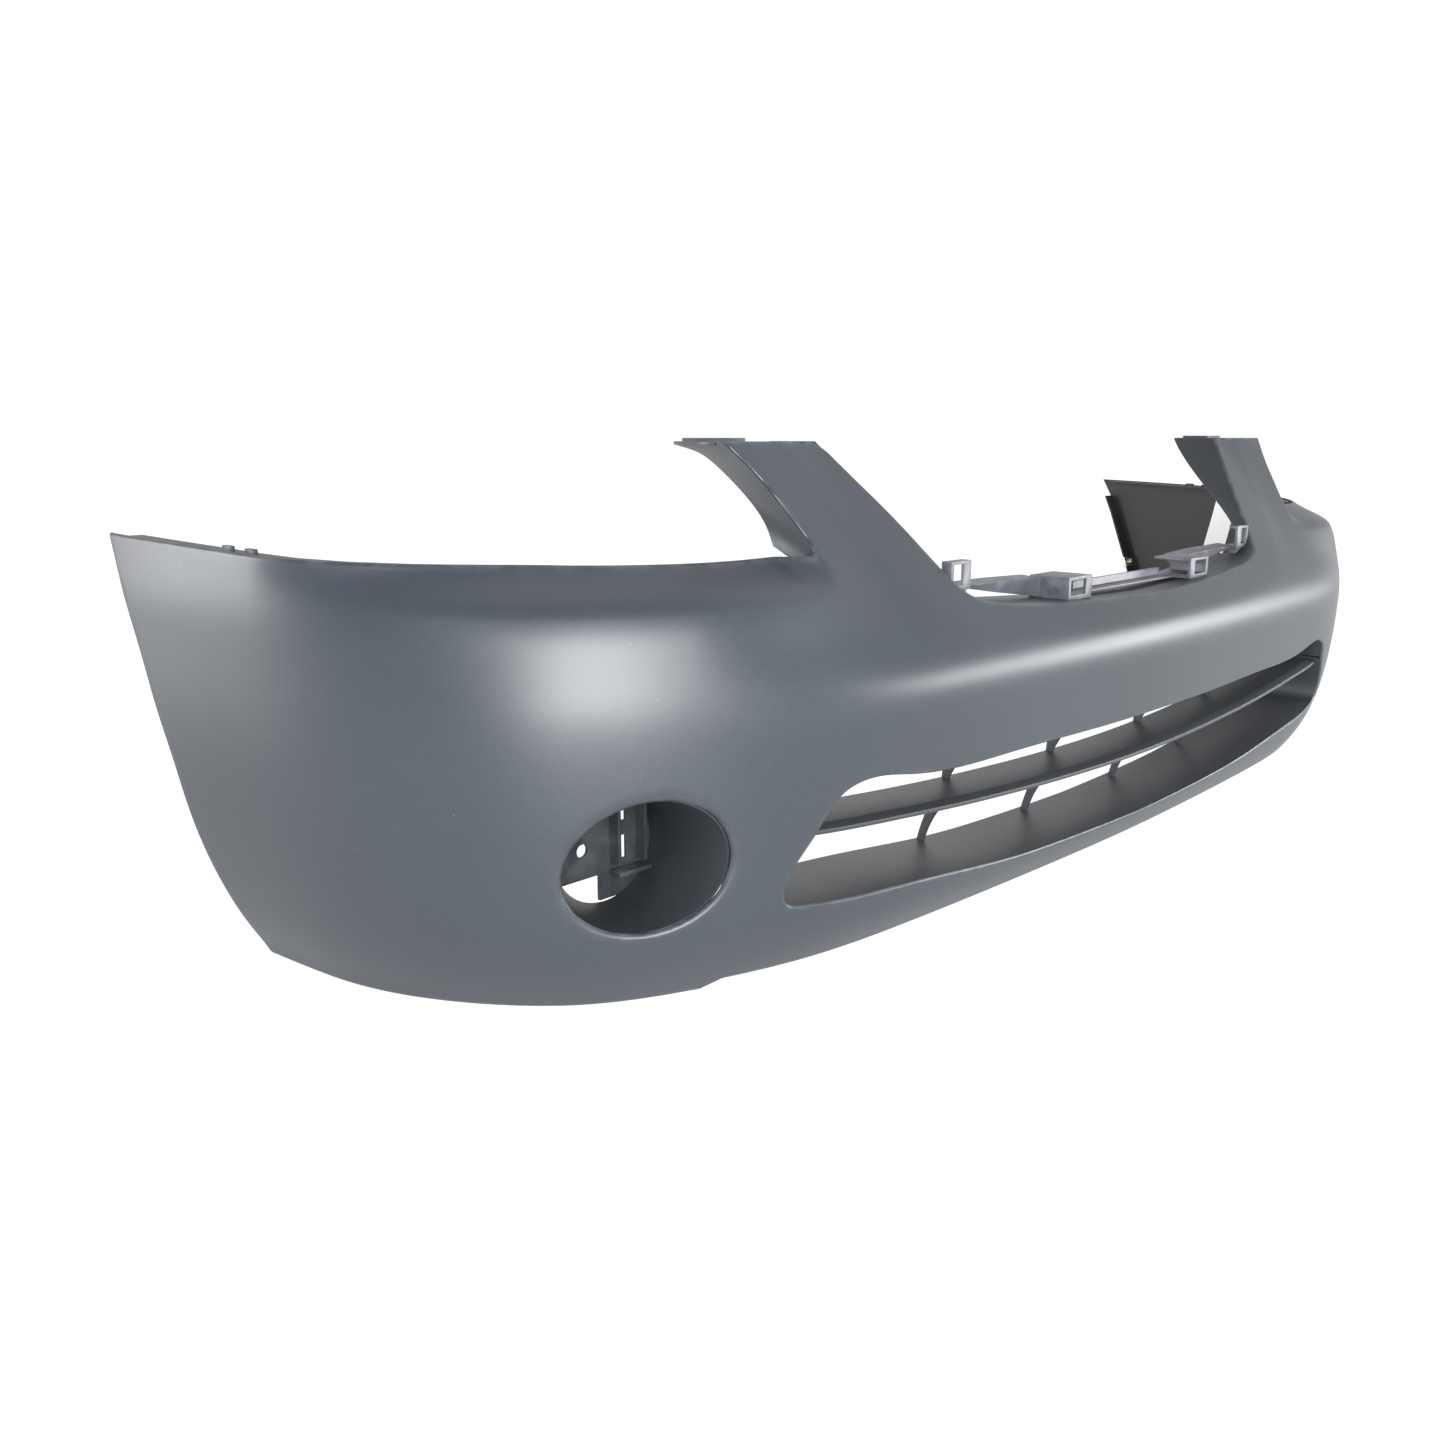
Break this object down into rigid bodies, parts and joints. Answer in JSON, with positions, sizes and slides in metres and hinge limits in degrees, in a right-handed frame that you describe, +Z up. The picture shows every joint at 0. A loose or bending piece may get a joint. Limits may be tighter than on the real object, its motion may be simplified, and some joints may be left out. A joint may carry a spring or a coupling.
{
  "type": "front bumper cover",
  "caption": "Primed front bumper cover with grille horns, fog lamp openings, slatted lower intake, clip sockets, mounting tabs and push retainers.",
  "frame": {"origin": "middle of the cover's bounding box, on the plane that its lower edges stand on", "axes": "+X to the cover's left-hand end, +Y to the rear of the car, +Z up"},
  "size_m": [1.7734, 0.5708, 0.448],
  "materials": {
    "primer": "satin dark grey primer",
    "moulded_grey": "primer overspray on moulded plastic",
    "bracket_grey": "bare moulded grey plastic",
    "moulded_black": "bare moulded black plastic",
    "black_nylon": "moulded nylon",
    "zinc_steel": "zinc plated",
    "label_paper": "matt blank label"
  },
  "bodies": {
    "cover": {"arch_flange_left": "moulded_black", "arch_flange_right": "moulded_black", "arch_nuts_left": "zinc_steel", "arch_nuts_right": "zinc_steel", "chin_flange": "moulded_black", "fender_rail_left": "moulded_black", "fender_rail_right": "moulded_black", "fog_bracket_left": "moulded_black", "fog_bracket_right": "moulded_black", "fog_pocket_left": "moulded_black", "fog_pocket_right": "moulded_black", "grille_bracket_left": "bracket_grey", "grille_bracket_right": "bracket_grey", "grille_centre_rail": "bracket_grey", "grille_flange": "moulded_grey", "headlamp_return_left": "primer", "headlamp_return_right": "primer", "horn_tab_left": "primer", "horn_tab_right": "primer", "intake_blade": "moulded_grey", "intake_roof": "moulded_grey", "intake_shelf": "moulded_grey", "lower_strut_inner_left": "moulded_grey", "lower_strut_inner_right": "moulded_grey", "lower_strut_outer_left": "moulded_grey", "lower_strut_outer_right": "moulded_grey", "retainer_inner_left": "black_nylon", "retainer_inner_right": "black_nylon", "retainer_outer_left": "black_nylon", "retainer_outer_right": "black_nylon", "skin_brow": "primer", "skin_corner_left": "primer", "skin_corner_right": "primer", "skin_face": "primer", "skin_horn_left": "primer", "skin_horn_right": "primer", "skin_lip": "primer", "skin_wing_left": "primer", "skin_wing_right": "primer", "stock_label": "label_paper", "upper_strut_inner_left": "moulded_grey", "upper_strut_inner_right": "moulded_grey", "upper_strut_outer_left": "moulded_grey", "upper_strut_outer_right": "moulded_grey"},
    "retainer_pin_inner_left": {"retainer_pin_inner_left": "black_nylon"},
    "retainer_pin_inner_right": {"retainer_pin_inner_right": "black_nylon"},
    "retainer_pin_outer_left": {"retainer_pin_outer_left": "black_nylon"},
    "retainer_pin_outer_right": {"retainer_pin_outer_right": "black_nylon"}
  },
  "joints": [
    {"name": "pin_slide_inner_left", "type": "slide", "parent": "cover", "child": "retainer_pin_inner_left", "axis": [0, 0, -1], "range_m": [0, 0.006]},
    {"name": "pin_slide_inner_right", "type": "slide", "parent": "cover", "child": "retainer_pin_inner_right", "axis": [0, 0, -1], "range_m": [0, 0.006]},
    {"name": "pin_slide_outer_left", "type": "slide", "parent": "cover", "child": "retainer_pin_outer_left", "axis": [0, 0, -1], "range_m": [0, 0.006]},
    {"name": "pin_slide_outer_right", "type": "slide", "parent": "cover", "child": "retainer_pin_outer_right", "axis": [0, 0, -1], "range_m": [0, 0.006]}
  ]
}
